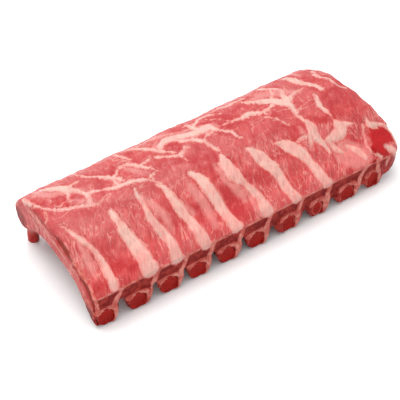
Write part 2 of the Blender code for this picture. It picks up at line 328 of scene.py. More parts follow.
def meat_section(x, inset=0, share=0):
    """The closed cross section of the meat at a place along the rack, as (y, z) points."""
    skin = curve_through(TOP_LINE + BACK_LINE + UNDER_LINE, SECTION_POINTS)
    y, z = skin.T
    on_top = np.arange(SECTION_POINTS) < np.argmax(y)
    top_fall = along(TOP_FALL, x) * (1 - smooth_step(y / TOP_FALL_REACH))
    gap_fall = along(GAP_FALL, x) * (1 - smooth_step(y / GAP_FALL_REACH))
    near_end = 1 - ramp(x, END_FALL_FROM, END_FALL_TO)
    gap_fall = gap_fall + near_end * along(END_FALL, y)
    arch_fall = along(ARCH_FALL, x) * np.sin(pi * np.clip(y / BACK_LINE[1][0], 0, 1))
    skin = np.stack([y, z + arch_fall + np.where(on_top, top_fall, gap_fall)], 1)
    core = nearest_on(CORE_LINE, skin)
    way = skin - core
    skin = core + way * (1 - inset / np.hypot(*way.T)[:, None]) * (1 - share)
    skin[:, 1] = np.maximum(skin[:, 1], 0)
    front = np.linspace(skin[-1], skin[0], FRONT_ROWS + 1)[1:-1]
    return np.vstack([skin, front])


def meat_loops():
    """Cross sections of the meat from the square cut left end to the rounded right end."""
    stations = []
    for turn in np.linspace(0, pi / 2, LEFT_STEPS, endpoint=False):
        stations.append((LEFT_ROUND * (1 - cos(turn)), LEFT_ROUND * (1 - sin(turn)), 0))
    last = LENGTH - RIGHT_ROUND
    for x in np.linspace(LEFT_ROUND, last, round(last / STATION_STEP)):
        stations.append((x, 0, 0))
    for turn in np.linspace(0, RIGHT_CLOSE, RIGHT_STEPS)[1:]:
        x = last + RIGHT_ROUND * sin(turn) / sin(RIGHT_CLOSE)
        stations.append((x, 0, 1 - cos(turn)))
    loops = []
    for x, inset, share in stations:
        section = meat_section(x, inset, share)
        reach = smooth_step((x - LENGTH + RIGHT_BOW_REACH) / RIGHT_BOW_REACH)
        bow = along(RIGHT_BOW, section[:, 0]) * reach
        loops.append(np.column_stack([x - bow, section]))
    return loops


def rib_x(index):
    return FIRST_RIB + RIB_PITCH * index + RIB_DRIFT[index]


def line_frames(line, steps):
    """Points along a rib's middle line with the direction across its thickness at each."""
    points = curve_through(line, steps)
    ways = np.gradient(points, axis=0)
    slope = np.arctan2(ways[:, 1], ways[:, 0])
    if points[-1, 1] == 0:
        slope[-1] = -pi / 2
    run = np.hypot(*(points - points[0]).T)
    lean = slope * smooth_step(run / LEAN_RUN)
    across = np.stack([-np.sin(lean), np.cos(lean)], 1) / np.cos(slope - lean)[:, None]
    return points, across


def rib_loops(index, grow, past):
    """Sections of one rib bone, grown all round by a clearance and run past its ends."""
    points, across = line_frames(RIB_LINE, RIB_STEPS)
    shares = np.linspace(0, 1, RIB_STEPS)
    half_wide = RIB_WIDTH[index] / 2 * along(RIB_TAPER, shares) + grow
    half_thick = along(RIB_THICKNESS, shares) / 2 + grow
    turns = np.arange(RIB_SIDES) * 2 * pi / RIB_SIDES
    loops = []
    for centre, way, wide, thick in zip(points, across, half_wide, half_thick):
        y, z = centre[:, None] + way[:, None] * thick * np.sin(turns)
        loops.append(np.column_stack([rib_x(index) + wide * np.cos(turns), y, z]))
    if past:
        loops.insert(0, loops[0] - np.array([0, past, 0]))
        loops.append(loops[-1] - np.array([0, 0, past]))
    return loops


def lobe_loops(index):
    """Sections of the lobe round one rib's front end, squarish and wider at the top."""
    points, across = line_frames(LOBE_LINE, LOBE_STEPS)
    shares = np.linspace(0, 1, LOBE_STEPS)
    half_wide = LOBE_WIDTH[index] / 2 * along(LOBE_TAPER, shares)
    half_thick = along(LOBE_THICKNESS, shares) / 2
    turns = (np.arange(LOBE_SIDES) + 0.5) * 2 * pi / LOBE_SIDES
    power = 2 / LOBE_SQUARENESS
    side = np.sign(np.cos(turns)) * np.abs(np.cos(turns)) ** power
    rise = np.sign(np.sin(turns)) * np.abs(np.sin(turns)) ** power
    side = side * (1 + LOBE_FLARE * rise)
    middle = rib_x(index) + LOBE_SHIFT[index]
    loops = []
    for centre, way, wide, thick in zip(points, across, half_wide, half_thick):
        y, z = centre[:, None] + way[:, None] * thick * rise
        loops.append(np.column_stack([middle + wide * side, y, np.maximum(z, 0)]))
    front = loops.pop(0)
    centre = front.mean(axis=0)
    for depth, share in LOBE_ROUND[::-1]:
        ring = centre + (front - centre) * share
        ring[:, 1] = LOBE_LINE[0][0] + depth
        loops.insert(0, ring)
    return loops


def lace_shut(shape, ring, last):
    """Closes an arched ring by facing its points up in pairs, `last` with the first one."""
    shape.faces.new((ring[0], ring[1], *ring[last - 1:]))
    for k in range(1, last // 2):
        shape.faces.new((ring[k], ring[k + 1], ring[last - k - 1], ring[last - k]))


def skin_over(shape, rings):
    """Adds the faces between neighbouring rings of points."""
    for one, two in zip(rings, rings[1:]):
        for k in range(len(one)):
            shape.faces.new((one[k - 1], one[k], two[k], two[k - 1]))


def finished(name, shape):
    """A mesh from a closed shape, with its faces turned outwards."""
    bmesh.ops.recalc_face_normals(shape, faces=shape.faces)
    mesh = bpy.data.meshes.new(name)
    shape.to_mesh(mesh)
    shape.free()
    return mesh


def linked(name, data):
    """An object with the given data, in the scene."""
    thing = bpy.data.objects.new(name, data)
    bpy.context.scene.collection.objects.link(thing)
    return thing


def loft(name, bodies, laced=0):
    """An object of closed bodies, each skinned over its own row of loops and capped."""
    shape = bmesh.new()
    for loops in bodies:
        rings = [[shape.verts.new(point) for point in loop] for loop in loops]
        skin_over(shape, rings)
        for ring in (rings[0], rings[-1]):
            if laced:
                lace_shut(shape, ring, laced)
            else:
                shape.faces.new(ring)
    return linked(name, finished(name, shape))


def settled(thing):
    """The object's mesh with its modifiers applied."""
    graph = bpy.context.evaluated_depsgraph_get()
    return bpy.data.meshes.new_from_object(thing.evaluated_get(graph))


def dense_meat():
    """The meat with its lobes and rib channels as one fine, even mesh."""
    body = loft("body", [meat_loops()], SECTION_POINTS - 1)
    ribs = range(len(RIB_WIDTH))
    lobes = loft("lobes", [lobe_loops(k) for k in ribs])
    channels = loft("channels", [rib_loops(k, GAP, CUT_PAST) for k in ribs])
    for tool, operation in ((lobes, "UNION"), (channels, "DIFFERENCE")):
        step = body.modifiers.new(operation.lower(), "BOOLEAN")
        step.operation = operation
        step.object = tool
        step.solver = "MANIFOLD"
    even = body.modifiers.new("even", "REMESH")
    even.mode = "VOXEL"
    even.voxel_size = VOXEL
    fine = linked("fine", settled(body))
    facing = read_normals(fine.data)[:, 2]
    hidden = (facing < HIDDEN_FACING) & (read_points(fine.data)[:, 1] > HIDDEN_FROM)
    fine.vertex_groups.new(name="hidden").add(np.nonzero(hidden)[0].tolist(), 1, "REPLACE")
    fewer = fine.modifiers.new("fewer", "DECIMATE")
    fewer.ratio = KEPT_SHARE
    fewer.vertex_group = "hidden"
    mesh = settled(fine)
    for thing in (body, lobes, channels, fine):
        bpy.data.objects.remove(thing)
    return mesh


def read_points(mesh):
    flat = np.empty(len(mesh.vertices) * 3, np.float32)
    mesh.vertices.foreach_get("co", flat)
    return flat.reshape(-1, 3).astype(float)


def write_points(mesh, points):
    mesh.vertices.foreach_set("co", points.astype(np.float32).ravel())
    mesh.update()


def read_normals(mesh):
    flat = np.empty(len(mesh.vertices) * 3, np.float32)
    mesh.vertex_normals.foreach_get("vector", flat)
    return flat.reshape(-1, 3).astype(float)


def read_edges(mesh):
    flat = np.empty(len(mesh.edges) * 2, np.int32)
    mesh.edges.foreach_get("vertices", flat)
    return flat.reshape(-1, 2)


def neighbour_mean(values, edges):
    """The mean over each point's neighbours."""
    count = np.bincount(edges.ravel(), minlength=len(values))
    total = np.zeros_like(values)
    for one, two in (edges.T, edges.T[::-1]):
        for k in range(values.shape[1]):
            total[:, k] += np.bincount(one, values[two, k], len(values))
    return total / np.maximum(count, 1)[:, None]


def eased(points, edges, weight, rounds):
    """The points drawn towards their neighbours, more where the weight is high."""
    for _ in range(rounds):
        points = points + (neighbour_mean(points, edges) - points) * weight[:, None]
    return points


WAVES = 9
# Wavelengths of the folds across, along and in height, in millimetres
FOLD_SIZE = (5.0, 34.0, 16.0)


def swell(points, seed, run):
    """Smooth uneven height between about -1 and 1, with the given wavelength in millimetres."""
    rng = np.random.default_rng(seed)
    total = np.zeros(len(points))
    for _ in range(WAVES):
        way = rng.normal(size=3)
        way *= 2 * pi / run / np.linalg.norm(way) * rng.uniform(0.7, 1.4)
        total += np.sin(points @ way + rng.uniform(0, 2 * pi))
    return total / np.sqrt(WAVES)


def folds(points, seed, turn):
    """Uneven height of long folds that run from front to back, leaning by a turn."""
    x, y, z = points.T
    across = x * cos(turn) - y * sin(turn)
    length = x * sin(turn) + y * cos(turn)
    return swell(np.stack([across / FOLD_SIZE[0], length / FOLD_SIZE[1], z / FOLD_SIZE[2]], 1), seed, 1)


def camera_axes():
    """The camera's right, up and forward directions."""
    forward = np.array((
        sin(CAMERA_TURN) * cos(CAMERA_FALL), cos(CAMERA_TURN) * cos(CAMERA_FALL), -sin(CAMERA_FALL)
    ))
    right = np.array((cos(CAMERA_TURN), -sin(CAMERA_TURN), 0))
    return right, np.cross(right, forward), forward


def on_surface(tree, pixels):
    """Where lines of sight through the photograph's pixels first meet the meat."""
    right, up, forward = camera_axes()
    found = []
    for x, y in pixels:
        way = forward * FOCAL_PIXELS + right * (x - IMAGE_SIDE / 2) - up * (y - IMAGE_SIDE / 2)
        hit = tree.ray_cast(Vector(CAMERA_PLACE), Vector(way).normalized())[0]
        if hit is not None:
            found.append(np.array(hit))
    return found


# How far from a seam its field still tells distances, in millimetres
FAR = 8.0
# Sight lines for each pixel of a seam, and points along it
SIGHTS = 3
SEAM_STEPS = 60


def seam_depth(tree, points, widths, pixels):
    """How far inside a seam each point lies, in millimetres; negative outside it."""
    depth = np.full(len(points), -FAR)
    course = on_surface(tree, curve_through(pixels, SIGHTS * len(pixels)))
    if len(course) < 2:
        return depth
    line = curve_through(course, SEAM_STEPS)
    half = spread_evenly(widths, SEAM_STEPS) / 2
    reach = half.max() + FAR
    near = np.all((points > line.min(0) - reach) & (points < line.max(0) + reach), axis=1)
    spot = np.nonzero(near)[0]
    best = np.full(len(spot), -FAR)
    for place, wide in zip(line, half):
        best = np.maximum(best, wide - np.linalg.norm(points[spot] - place, axis=1))
    depth[spot] = best
    return depth


def deepest(tree, points, seams):
    """The greatest depth inside any of the seams."""
    depth = np.full(len(points), -FAR)
    for widths, *pixels in seams:
        depth = np.maximum(depth, seam_depth(tree, points, widths, pixels))
    return depth


def edge_z(x):
    """Height of the front cut's crisp top edge."""
    return TOP_LINE[0][1] + along(TOP_FALL, x)


def least(one, two, soft):
    """The smaller of two fields, rounded where they cross."""
    share = np.clip(0.5 + 0.5 * (two - one) / soft, 0, 1)
    return two * (1 - share) + one * share - soft * share * (1 - share)


# The pale septum right of each rib at the front cut: its reach at the top edge, the share of that
# at its knee, the knee's height, the heights and shares below it, and its widths
SEPTUM_TOP = (18.5, 21.5, 19.5, 18.0, 17.0, 16.5, 15.5, 15.0, 23.0, 4.5)
SEPTUM_KNEE = (0.55, 0.78, 0.72, 0.74, 0.8, 0.7, 0.72, 0.76, 0.66, 1.3)
KNEE_RISE = 12.0
SEPTUM_COURSE = ((4.0, 0.86), (-3.0, 0.78), (-9.0, 0.6))
SEPTUM_WIDTHS = (3.0, 4.2, 6.0, 6.2, 2.4)
SEPTUM_STEPS = 30
# How far left of the first septum another one would stand
SEPTUM_BEFORE = RIB_PITCH + 2.0
# How far the marrow runs past half the bone's width and thickness, and how square it is
MARROW_GROW = (0.5, 0.9)
MARROW_POWER = 3.6
# What a lean cell keeps clear of the right and left septum, the top edge and the marrow
CELL_CLEAR = (1.6, 3.4, 2.8, 3.6)
# Its floor's height and slope, and how round its corners are: top, sides and floor
CELL_FLOOR = (4.0, 0.15)
CORNERS = (1.6, 2.5, 3.0)
# The pale arch over the marrow: how thin it gets, its facing and how far round it goes
ARCH_THIN = 0.1
ARCH_FACING = (0.6, 0.8)
ARCH_TURN = 0.2
# The pale rim's depth under the top edge and half its width
RIM = (1.1, 0.95)
# How far back, and above the edge, the cut's fields are worked out
FRONT_DEPTH = 2.2
EDGE_MARGIN = 3.0


def septum_lines():
    """The middle line of the septum right of each rib, from the top down, as (x, z) points."""
    lines = []
    middle_z = RIB_LINE[0][1]
    for k, (reach, knee) in enumerate(zip(SEPTUM_TOP, SEPTUM_KNEE)):
        course = [(reach, edge_z(rib_x(k) + reach) - middle_z), (reach * knee, KNEE_RISE)]
        course += [(reach * knee * share, rise) for rise, share in SEPTUM_COURSE]
        lines.append(curve_through(course, SEPTUM_STEPS) + (rib_x(k), middle_z))
    return lines


def past_line(line, place):
    """How far right of a falling line each (x, z) place is."""
    rising = line[::-1]
    return place[:, 0] - np.interp(place[:, 1], rising[:, 1], rising[:, 0])


def front_fields(points):
    """Depths inside the lean cells, the pale septa and the marrow that show at the front cut."""
    under_edge = points[:, 2] < edge_z(points[:, 0]) + EDGE_MARGIN
    cut = np.nonzero((points[:, 1] < FRONT_DEPTH) & under_edge)[0]
    place = points[cut][:, (0, 2)]
    below_edge = edge_z(place[:, 0]) - place[:, 1]
    septa = septum_lines()
    half = spread_evenly(SEPTUM_WIDTHS, SEPTUM_STEPS) / 2
    right, left, edge, bone = CELL_CLEAR
    low, slope = CELL_FLOOR
    above, between, below = CORNERS
    cell, pale, marrow = np.full((3, len(cut)), -FAR)
    for k, width in enumerate(RIB_WIDTH):
        for spot, wide in zip(septa[k], half):
            pale = np.maximum(pale, wide - np.hypot(*(place - spot).T))
        size = np.array((width, RIB_THICKNESS[0][1])) / 2 + MARROW_GROW
        off = place - (rib_x(k), RIB_LINE[0][1])
        squarish = np.sum(np.abs(off / size) ** MARROW_POWER, axis=1) ** (1 / MARROW_POWER)
        ring = (squarish - 1) * size.mean()
        marrow = np.maximum(marrow, -ring)
        before = septa[k - 1] if k else septa[0] - (SEPTUM_BEFORE, 0)
        sides = least(
            -past_line(septa[k], place) - right, past_line(before, place) - left, between
        )
        top = least(below_edge - edge, ring - bone, above)
        floor = off[:, 1] - low - slope * off[:, 0]
        cell = np.maximum(cell, least(least(sides, top, above), floor, below))
        arch = ARCH_THIN + smooth_step(off / size @ ARCH_FACING + ARCH_TURN)
        pale = np.maximum(pale, arch - np.abs(ring - arch - ARCH_THIN))
    pale = np.maximum(pale, RIM[1] - np.abs(below_edge - RIM[0]))
    fields = np.full((3, len(points)), -FAR)
    fields[:, cut] = cell, pale, marrow
    return fields


def add_field(mesh, name, values):
    field = mesh.attributes.new(name, "FLOAT", "POINT")
    field.data.foreach_set("value", values.astype(np.float32))


# Where the back half starts and is full
BACK_HALF = (44.0, 60.0)
# How far a point is drawn towards its neighbours in a round, and how much further where blunt
EASE = (0.3, 0.35)
EASE_ROUNDS = 5
# Uneven heights, each with its seed and its wavelength
LEAN_RAG = (1.6, 21, 9)
DARK_RAG = (1.4, 22, 8)
TOP_SWELLS = ((0.55, 3, 34), (0.28, 5, 13))
FINE_SWELL = (0.12, 8, 6)
# Lengthwise folds: height, seed and turn; their loss on the seams and on the back half
FOLDS = ((0.24, 11, radians(12)), (0.17, 12, radians(32)))
FOLDS_LOST = (0.8, 0.55)
FAT_GROW = 0.1
# The groove beside the fat: depth, place and width
GROOVE = (0.45, -0.3, 1.1)
FAT_RISE = 0.35
SEPTUM_RISE = 0.5
CELL_SUNK = 0.35
LOBE_DARK = 0.85
SPOT_DEEP = 0.5
# This far below the edge the cut's colours go round the lobes, this far back
LOBES_BELOW = 6.0
LOBES_BACK = 34.0
# A slit's widths as shares of its greatest one
SLIT_TAPER = (0.4, 1.0, 1.0, 0.4)
# The fields of the meat: depths in millimetres and shares from 0 to 1, among them where shade is painted
# in the gaps and light behind the front edge
MEAT_FIELDS = (
    "fat", "fascia", "lean", "cell", "marrow", "veil", "dark", "deep", "slit", "cut", "brink",
    "net", "under",
)


def ease_meat(mesh):
    """Rounds the fine mesh off, except along the crisp top edge of the front cut."""
    points, normals = read_points(mesh), read_normals(mesh)
    off_edge = np.hypot(points[:, 1] - TOP_LINE[0][0], points[:, 2] - edge_z(points[:, 0]))
    blunt = ramp(points[:, 1], 34, 24) * ramp(normals[:, 2], 0.5, 0.2)
    weight = (EASE[0] + EASE[1] * blunt) * ramp(off_edge, 1.5, 5)
    points = eased(points, read_edges(mesh), weight, EASE_ROUNDS)
    write_points(mesh, points)
    return points


def spot_share(tree, points, spots, rag):
    """How strongly each point lies in any of the spots, which have uneven rims."""
    great, seed, run = rag
    uneven = great * swell(points, seed, run)
    share = np.zeros(len(points))
    for strength, radius, pixel in spots:
        for place in on_surface(tree, [pixel]):
            gap = np.linalg.norm(points - place, axis=1) + uneven
            share = np.maximum(share, strength * ramp(gap / radius, 1.4, 0.4))
    return share


def dark_fields(tree, points):
    """Shares of the darker red lobes and spots, and of painted shade in the gaps between and behind the
    lobes, which also takes in the darkest red of the dark spots' cores.
    """
    y, z = points[:, 1], points[:, 2]
    dark = spot_share(tree, points, DARK_SPOTS, DARK_RAG)
    dark = np.maximum(dark, LOBE_DARK * ramp(z, 19, 14) * ramp(y, 20, 14))
    # Painted shade, darkest low down in the gaps between and behind the lobes
    deep = ramp(z, 23, 18) * ramp(y, 0.5, 4.5) * ramp(y, 34, 24)
    return dark, np.maximum(deep, SPOT_DEEP * ramp(dark, 0.9, 1.2))


def slit_fields(tree, points):
    """Depths inside the slits, and how far they sink the meat."""
    slit = np.full(len(points), -FAR)
    sunk = np.zeros(len(points))
    for width, depth, *pixels in SLITS:
        inside = seam_depth(tree, points, [width * share for share in SLIT_TAPER], pixels)
        slit = np.maximum(slit, inside)
        sunk = np.maximum(sunk, depth * ramp(inside / width, -0.5, 0.5))
    return slit, sunk


def relief(points, upward, fat, cells, septa):
    """Height that uneven swelling, seams, cells and folds give the meat, in millimetres."""
    height = np.zeros(len(points))
    for great, seed, run in TOP_SWELLS:
        height += great * swell(points, seed, run) * upward
    great, seed, run = FINE_SWELL
    height += great * swell(points, seed, run)
    depth, middle, width = GROOVE
    height -= depth * np.exp(-((fat - middle) / width) ** 2)
    height += FAT_RISE * ramp(fat, 0, 3) - CELL_SUNK * ramp(cells, -1.2, 2.8)
    height += SEPTUM_RISE * ramp(septa, -1, 1)
    on_seam, on_back = FOLDS_LOST
    bare = upward * (1 - on_seam * ramp(fat, -0.6, 1.4))
    bare *= 1 - on_back * ramp(points[:, 1], *BACK_HALF)
    for great, seed, turn in FOLDS:
        height += great * folds(points, seed, turn) * bare
    return height


def dress_meat():
    """The meat piece: relief in its mesh, and fields that its material reads."""
    mesh = dense_meat()
    points = ease_meat(mesh)
    normals = read_normals(mesh)
    upward = ramp(normals[:, 2], -0.1, 0.4)
    tree = BVHTree.FromPolygons(
        [Vector(p) for p in points], [tuple(face.vertices) for face in mesh.polygons]
    )
    fat = deepest(tree, points, FAT_SEAMS) + FAT_GROW
    cells, septa, marrow = front_fields(points)
    fascia = np.maximum(deepest(tree, points, FASCIA_SEAMS), septa)
    veil = deepest(tree, points, VEILS)
    lean = spot_share(tree, points, LEAN_SPOTS, LEAN_RAG)
    dark, deep = dark_fields(tree, points)
    slit, sunk = slit_fields(tree, points)

    height = relief(points, upward, fat, cells, septa) - sunk
    points = points + normals * height[:, None]
    points[:, 2] = np.maximum(points[:, 2], 0)
    points[:, 0] = np.clip(points[:, 0], 0, LENGTH)
    write_points(mesh, points)

    over_edge = points[:, 2] - edge_z(points[:, 0])
    back = np.where(over_edge < -LOBES_BELOW, LOBES_BACK, FRONT_DEPTH)
    cut = ramp(over_edge, 0.4, -0.4) * ramp(points[:, 1] - back, 0, -1.5)
    # Painted light: upward faces behind the front edge, which the material tints paler and redder
    brink = (1 - cut) * (1 - lean) * upward * ramp(points[:, 1], 26, 7)
    net = ramp(points[:, 1], *BACK_HALF) * upward
    under = ramp(normals[:, 2], -0.1, -0.5)
    fields = fat, fascia, lean, cells, marrow, veil, dark, deep, slit, cut, brink, net, under
    for name, values in zip(MEAT_FIELDS, fields):
        add_field(mesh, name, values)
    return mesh


# How much of each bone's front end its marrow takes
MARROW_SHARE = (1.02, 1.02, 1.02, 1.0, 1.0, 1.02, 0.92, 0.74, 0.92, 0.98)
# The rings of its sawn end: the innermost one's share of the outline, and how many
INNER_RING = 0.12
END_RINGS = 14
# How deep its marrow is sunk, how rough it is and up to which share; how far its rim is rounded
MARROW_DEPTH = 0.4
MARROW_ROUGH = 0.12
ROUGH_WITHIN = 0.85
ROUND_DEPTH = 0.25
FIRST_RIB_SEED = 100


def end_rings(index, front):
    """Rings of points over a bone's sawn end, each with its share of the outline."""
    rng = np.random.default_rng(FIRST_RIB_SEED + index)
    centre = front.mean(axis=0)
    for share in np.linspace(INNER_RING, 1, END_RINGS):
        ring = centre + (front - centre) * share
        ring[:, 1] += MARROW_DEPTH * ramp(share, 0.9, 0.82) + ROUND_DEPTH * ramp(share, 0.95, 1)
        rough = rng.uniform(-MARROW_ROUGH, MARROW_ROUGH, len(ring))
        if share < ROUGH_WITHIN:
            ring[:, 1] += rough
        yield share, ring


def rib_piece(index):
    """One rib bone with its sawn marrow end."""
    loops = rib_loops(index, 0, 0)
    shape = bmesh.new()
    marrow = shape.verts.layers.float.new("marrow")
    run = shape.verts.layers.float.new("run")
    rings = []
    for share, loop in end_rings(index, loops[0]):
        ring = [shape.verts.new(point) for point in loop]
        for vert in ring:
            vert[marrow] = MARROW_SHARE[index] - share
        rings.append(ring)
    for number, loop in enumerate(loops[1:], 1):
        ring = [shape.verts.new(point) for point in loop]
        for vert in ring:
            vert[run] = number / (len(loops) - 1)
        rings.append(ring)
    skin_over(shape, rings)
    shape.faces.new(rings[0])
    shape.faces.new(rings[-1])
    return finished(f"bone_{index + 1:02d}", shape)


def put(name, mesh, material):
    """A piece from a mesh in the layout's millimetres, in its place in the frame."""
    mesh.transform(Matrix.Translation(HOME) @ Matrix.Scale(MM, 4))
    mesh.materials.clear()
    mesh.materials.append(material)
    mesh.shade_smooth()
    return linked(name, mesh)


# What share of a shown colour the surface itself gives; the rest is light and gloss
SURFACE_SHARE = np.array((0.62, 0.49, 0.49))

# Colours as they show on a screen: red, green and blue from 0 to 255
TONES = {
    "muscle": (208, 77, 79), "muscle, pale": (228, 124, 123), "muscle, palest": (236, 130, 125),
    # The fibres' light and dark colours are painted highlight and painted shade over their grain; the
    # pale lines' colour is painted highlight
    "fibre, painted highlight": (248, 170, 160), "fibre, painted shade": (182, 50, 54), "sinew": (255, 186, 174),
    "eye": (192, 22, 28), "torn": (208, 94, 84), "wet": (160, 28, 28), "cell": (144, 24, 20),
    "tissue": (224, 116, 104), "pulp": (162, 14, 8), "fat": (248, 192, 180),
    "fat, lightest": (255, 228, 212), "fat, thin": (250, 176, 166), "veil": (248, 176, 168),
    # The crease and slit colours are painted shade
    "halo": (246, 150, 142), "vein": (252, 196, 180), "crease": (176, 52, 50), "slit": (160, 58, 46),
    # The gap colour is painted shade between and behind the lobes, also used for the darkest red of the
    # dark spots
    "under": (190, 96, 90), "deep": (126, 26, 22), "marrow": (150, 10, 6),
    "marrow, bright": (196, 36, 28), "bone rim": (226, 112, 102), "bone rim, dark": (190, 66, 60),
    "membrane": (204, 128, 116), "membrane, dark": (176, 76, 70), "foot": (190, 40, 38),
}
# Lighter forms of some, for mottling
LIGHTER = {
    "muscle": (228, 107, 106), "eye": (214, 48, 52), "torn": (238, 142, 128), "wet": (200, 70, 62),
    "cell": (184, 62, 50), "tissue": (248, 174, 158), "pulp": (196, 46, 36), "fat": (253, 214, 200),
    "marrow": (204, 52, 40), "foot": (226, 88, 80),
}


def tone(name, table=TONES):
    """A named colour as the shader's own numbers."""
    shown = np.array(table[name]) / 255
    straight = np.where(shown < 0.04045, shown / 12.92, ((shown + 0.055) / 1.055) ** 2.4)
    return (*(straight * SURFACE_SHARE), 1.0)


class Nodes:
    """A material's node tree with short ways to add to it."""

    def __init__(self, name):
        self.material = bpy.data.materials.new(name)
        self.material.use_nodes = True
        self.tree = self.material.node_tree
        self.shader = self.tree.nodes["Principled BSDF"]
        self.where = self.add("TexCoord").outputs["Object"]

    def add(self, kind, inputs=None, **settings):
        node = self.tree.nodes.new("ShaderNode" + kind)
        for name, value in settings.items():
            setattr(node, name, value)
        for name, value in (inputs or {}).items():
            self.give(node.inputs[name], value)
        return node

    def give(self, socket, value):
        if isinstance(value, bpy.types.NodeSocket):
            self.tree.links.new(value, socket)
        else:
            socket.default_value = value

    def field(self, name):
        return self.add("Attribute", attribute_name=name).outputs["Fac"]

    def stretched(self, sizes, turn=0.0):
        """Coordinates in which a grain of these sizes, in millimetres, comes out round."""
        return self.add(
            "Mapping",
            {"Vector": self.where, "Rotation": (0, 0, turn), "Scale": [size * MM for size in sizes]},
            vector_type="TEXTURE",
        ).outputs["Vector"]

    def noise(self, scale, detail=3.0, at=None, bend=0.0):
        return self.add(
            "TexNoise",
            {"Vector": at or self.where, "Scale": scale, "Detail": detail, "Distortion": bend},
        ).outputs["Fac"]

    def sum(self, one, two, operation="ADD"):
        node = self.add("Math", operation=operation)
        self.give(node.inputs[0], one)
        self.give(node.inputs[1], two)
        return node.outputs[0]

    def times(self, one, two):
        return self.sum(one, two, "MULTIPLY")

    def centred(self, grain):
        """A grain moved so that its middle is zero."""
        return self.sum(grain, 0.5, "SUBTRACT")

    def rise(self, value, low, high, to_low=0.0, to_high=1.0):
        return self.add(
            "MapRange",
            {"Value": value, "From Min": low, "From Max": high, "To Min": to_low, "To Max": to_high},
            interpolation_type="SMOOTHSTEP",
        ).outputs["Result"]

    def thin_lines(self, grain):
        """Thin lines where a grain crosses its middle."""
        return self.rise(self.sum(self.centred(grain), 0.0, "ABSOLUTE"), 0.026, 0.004)

    def blend(self, share, one, two, kind="MIX"):
        node = self.add("Mix", data_type="RGBA", blend_type=kind)
        self.give(node.inputs[0], share)
        self.give(node.inputs[6], one)
        self.give(node.inputs[7], two)
        return node.outputs[2]

    def mottle(self, grain, low, high, name):
        """A named colour, with its lighter form where the grain is high."""
        return self.blend(self.rise(grain, low, high), tone(name), tone(name, LIGHTER))

    def bump(self, height, strength, distance, before=None):
        inputs = {"Height": height, "Strength": strength, "Distance": distance}
        if before is not None:
            inputs["Normal"] = before
        return self.add("Bump", inputs).outputs["Normal"]

    def finish(self, colour, roughness, normal, **constants):
        self.give(self.shader.inputs["Base Color"], colour)
        self.give(self.shader.inputs["Roughness"], roughness)
        self.give(self.shader.inputs["Normal"], normal)
        for name, value in constants.items():
            self.shader.inputs[name.replace("_", " ")].default_value = value
        return self.material


# Grains of the meat: scale, detail and distortion
GRAINS = {
    "fine": (800, 3, 0),
    "small": (170, 2, 0.8),
    "patch": (42, 2, 0.8),
    "broad": (18, 1, 0.5),
    "tear": (300, 2.5, 1.6),
}
# Stretched grains: sizes across, along and in height, turn, detail and distortion
STRETCHED_GRAINS = {
    "fibres": ((2.4, 26, 22), radians(-14), 1.6, 0.5),
    "slant": ((2.2, 18, 20), radians(-34), 1.6, 0.6),
    # The grains of the painted highlight lines, which the bump also raises
    "sinew": ((5, 26, 24), radians(-20), 1.0, 0.7),
    "sinew_slant": ((4, 22, 24), radians(-32), 1.0, 0.6),
    "sinew_straight": ((6, 30, 24), radians(-6), 1.0, 0.8),
    "marbling": ((24, 10, 12), radians(10), 1.0, 0.5),
}
# How far grains move the rims of fat; the last one for the front half and the back half
RAG_REACHES = {"small": 3.4, "fibres": 2.4, "patch": 7.0, "fine": 0.8}
TEAR_REACH = (1.6, 6.0)
# Tints: less red on the back half, and painted light, paler and redder, behind the front edge
BACK_TINT = (0.94, 1.04, 1.06, 1)
PAINTED_FRONT_LIGHT = (1.16, 1.04, 1.05, 1)


def add_grains(n):
    """Gives the nodes the meat's fields and grains under their own names."""
    for name in MEAT_FIELDS:
        setattr(n, name, n.field(name))
    for name, (scale, detail, bend) in GRAINS.items():
        setattr(n, name, n.noise(scale, detail, bend=bend))
    for name, (sizes, turn, detail, bend) in STRETCHED_GRAINS.items():
        setattr(n, name, n.noise(1.0, detail, n.stretched(sizes, turn), bend))
    n.thread = n.sum(n.times(n.fibres, 0.55), n.times(n.slant, 0.45))
    n.loose = n.centred(n.small)


def glint_lines_share(n):
    """Thin lines of painted highlight, the glints of the wet muscle, that run with the fibres."""
    lines = 0.0
    for grain, where in ((n.sinew, n.patch), (n.sinew_slant, n.broad), (n.sinew_straight, n.broad)):
        lines = n.sum(n.times(n.thin_lines(grain), n.rise(where, 0.42, 0.56)), lines, "MAXIMUM")
    return n.times(lines, n.rise(n.net, 0, 1, 0.7, 0.25))


def muscle_colour(n, sinew):
    """Muscle whose fibres carry painted highlights and painted shade over their own grain, with thin
    painted highlight lines and the strong red eye.
    """
    colour = n.mottle(n.patch, 0.36, 0.62, "muscle")
    colour = n.blend(n.times(n.rise(n.broad, 0.45, 0.65), 0.6), colour, tone("muscle, pale"))
    colour = n.blend(n.times(n.rise(n.small, 0.5, 0.7), 0.4), colour, tone("muscle, palest"))
    # Painted highlights on the fibre ridges and painted shade in their furrows, over the fibres' own
    # grain; weaker on the back half
    lively = n.times(n.rise(n.net, 0, 1, 0.33, 0.13), n.rise(n.patch, 0.42, 0.6, 0.4, 1.0))
    colour = n.blend(n.times(n.rise(n.thread, 0.54, 0.63), lively), colour, tone("fibre, painted highlight"))
    dark = n.times(n.rise(n.thread, 0.47, 0.38), n.times(lively, 1.7))
    colour = n.blend(dark, colour, tone("fibre, painted shade"))
    # Painted highlight: the thin glint lines
    colour = n.blend(sinew, colour, tone("sinew"))
    return n.blend(n.rise(n.lean, 0.15, 0.8), colour, n.mottle(n.patch, 0.4, 0.62, "eye"))


